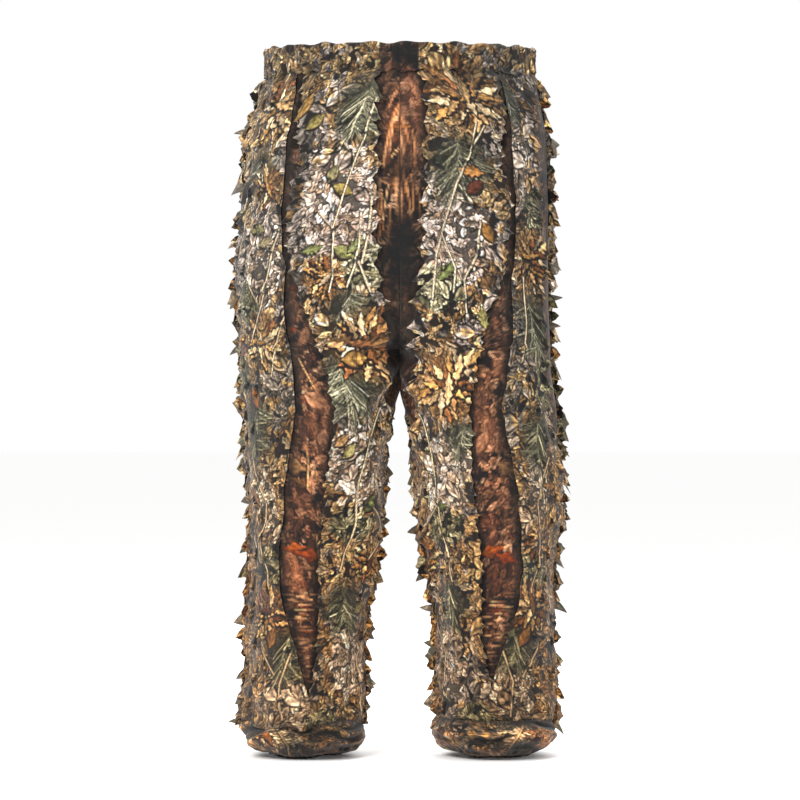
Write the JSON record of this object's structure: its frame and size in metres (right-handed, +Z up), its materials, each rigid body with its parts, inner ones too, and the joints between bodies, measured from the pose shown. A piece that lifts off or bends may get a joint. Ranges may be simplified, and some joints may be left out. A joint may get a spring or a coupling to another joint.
{
  "type": "ghillie suit trousers",
  "caption": "Open-standing leafy camouflage over-trousers: gathered elastic waist, loose legs with jagged leaf strips and fringe, gathered elastic hems, legs hinged at hips and knees.",
  "frame": {"origin": "middle of the waist opening, level with the top of the waistband", "axes": "+Z up towards the waist, the front faces -Y, +X is the wearer's left; the legs hang down along -Z"},
  "size_m": [0.505, 0.296, 1.025],
  "materials": {
    "printed_cloth": "matt woven polyester printed with a bark and leaf-litter pattern",
    "leaf_strip": "matt printed polyester with jagged leaf-cut edges",
    "leaf_fringe": "matt printed polyester leaves",
    "lining": "the pale unprinted side of the cloth",
    "elastic": "ribbed woven elastic, hidden in its casing"
  },
  "bodies": {
    "seat": {"waistband_outer": "printed_cloth", "waistband_inner": "lining", "waist_elastic": "elastic", "left_seat_front": "printed_cloth", "left_seat_front_outer_leaf_strip": "leaf_strip", "left_seat_front_inner_leaf_strip": "leaf_strip", "left_seat_back": "printed_cloth", "left_seat_back_outer_leaf_strip": "leaf_strip", "left_seat_back_inner_leaf_strip": "leaf_strip", "left_seat_side_leaf_fringe": "leaf_fringe", "left_pocket_bag": "lining", "left_hip_fold": "printed_cloth", "right_seat_front": "printed_cloth", "right_seat_front_outer_leaf_strip": "leaf_strip", "right_seat_front_inner_leaf_strip": "leaf_strip", "right_seat_back": "printed_cloth", "right_seat_back_outer_leaf_strip": "leaf_strip", "right_seat_back_inner_leaf_strip": "leaf_strip", "right_seat_side_leaf_fringe": "leaf_fringe", "right_pocket_bag": "lining", "right_hip_fold": "printed_cloth"},
    "left_thigh": {"left_thigh_front": "printed_cloth", "left_thigh_front_outer_leaf_strip": "leaf_strip", "left_thigh_front_inner_leaf_strip": "leaf_strip", "left_thigh_back": "printed_cloth", "left_thigh_back_outer_leaf_strip": "leaf_strip", "left_thigh_back_inner_leaf_strip": "leaf_strip", "left_thigh_side_leaf_fringe": "leaf_fringe", "left_knee_fold": "printed_cloth"},
    "left_calf": {"left_calf_front": "printed_cloth", "left_calf_front_outer_leaf_strip": "leaf_strip", "left_calf_front_inner_leaf_strip": "leaf_strip", "left_calf_back": "printed_cloth", "left_calf_back_outer_leaf_strip": "leaf_strip", "left_calf_back_inner_leaf_strip": "leaf_strip", "left_calf_side_leaf_fringe": "leaf_fringe", "left_calf_inseam_leaf_fringe": "leaf_fringe", "left_cuff": "printed_cloth", "left_cuff_elastic": "elastic"},
    "right_thigh": {"right_thigh_front": "printed_cloth", "right_thigh_front_outer_leaf_strip": "leaf_strip", "right_thigh_front_inner_leaf_strip": "leaf_strip", "right_thigh_back": "printed_cloth", "right_thigh_back_outer_leaf_strip": "leaf_strip", "right_thigh_back_inner_leaf_strip": "leaf_strip", "right_thigh_side_leaf_fringe": "leaf_fringe", "right_knee_fold": "printed_cloth"},
    "right_calf": {"right_calf_front": "printed_cloth", "right_calf_front_outer_leaf_strip": "leaf_strip", "right_calf_front_inner_leaf_strip": "leaf_strip", "right_calf_back": "printed_cloth", "right_calf_back_outer_leaf_strip": "leaf_strip", "right_calf_back_inner_leaf_strip": "leaf_strip", "right_calf_side_leaf_fringe": "leaf_fringe", "right_calf_inseam_leaf_fringe": "leaf_fringe", "right_cuff": "printed_cloth", "right_cuff_elastic": "elastic"}
  },
  "joints": [
    {"name": "left_hip", "type": "hinge", "parent": "seat", "child": "left_thigh", "pos_m": [0.1106, 0, -0.43], "axis": [1, 0, 0], "range_deg": [-60, 20], "deforming": ["left_hip_fold"]},
    {"name": "left_knee", "type": "hinge", "parent": "left_thigh", "child": "left_calf", "pos_m": [0.126, 0, -0.715], "axis": [1, 0, 0], "range_deg": [0, 60], "deforming": ["left_knee_fold"]},
    {"name": "right_hip", "type": "hinge", "parent": "seat", "child": "right_thigh", "pos_m": [-0.1106, 0, -0.43], "axis": [1, 0, 0], "range_deg": [-60, 20], "deforming": ["right_hip_fold"]},
    {"name": "right_knee", "type": "hinge", "parent": "right_thigh", "child": "right_calf", "pos_m": [-0.126, 0, -0.715], "axis": [1, 0, 0], "range_deg": [0, 60], "deforming": ["right_knee_fold"]}
  ]
}
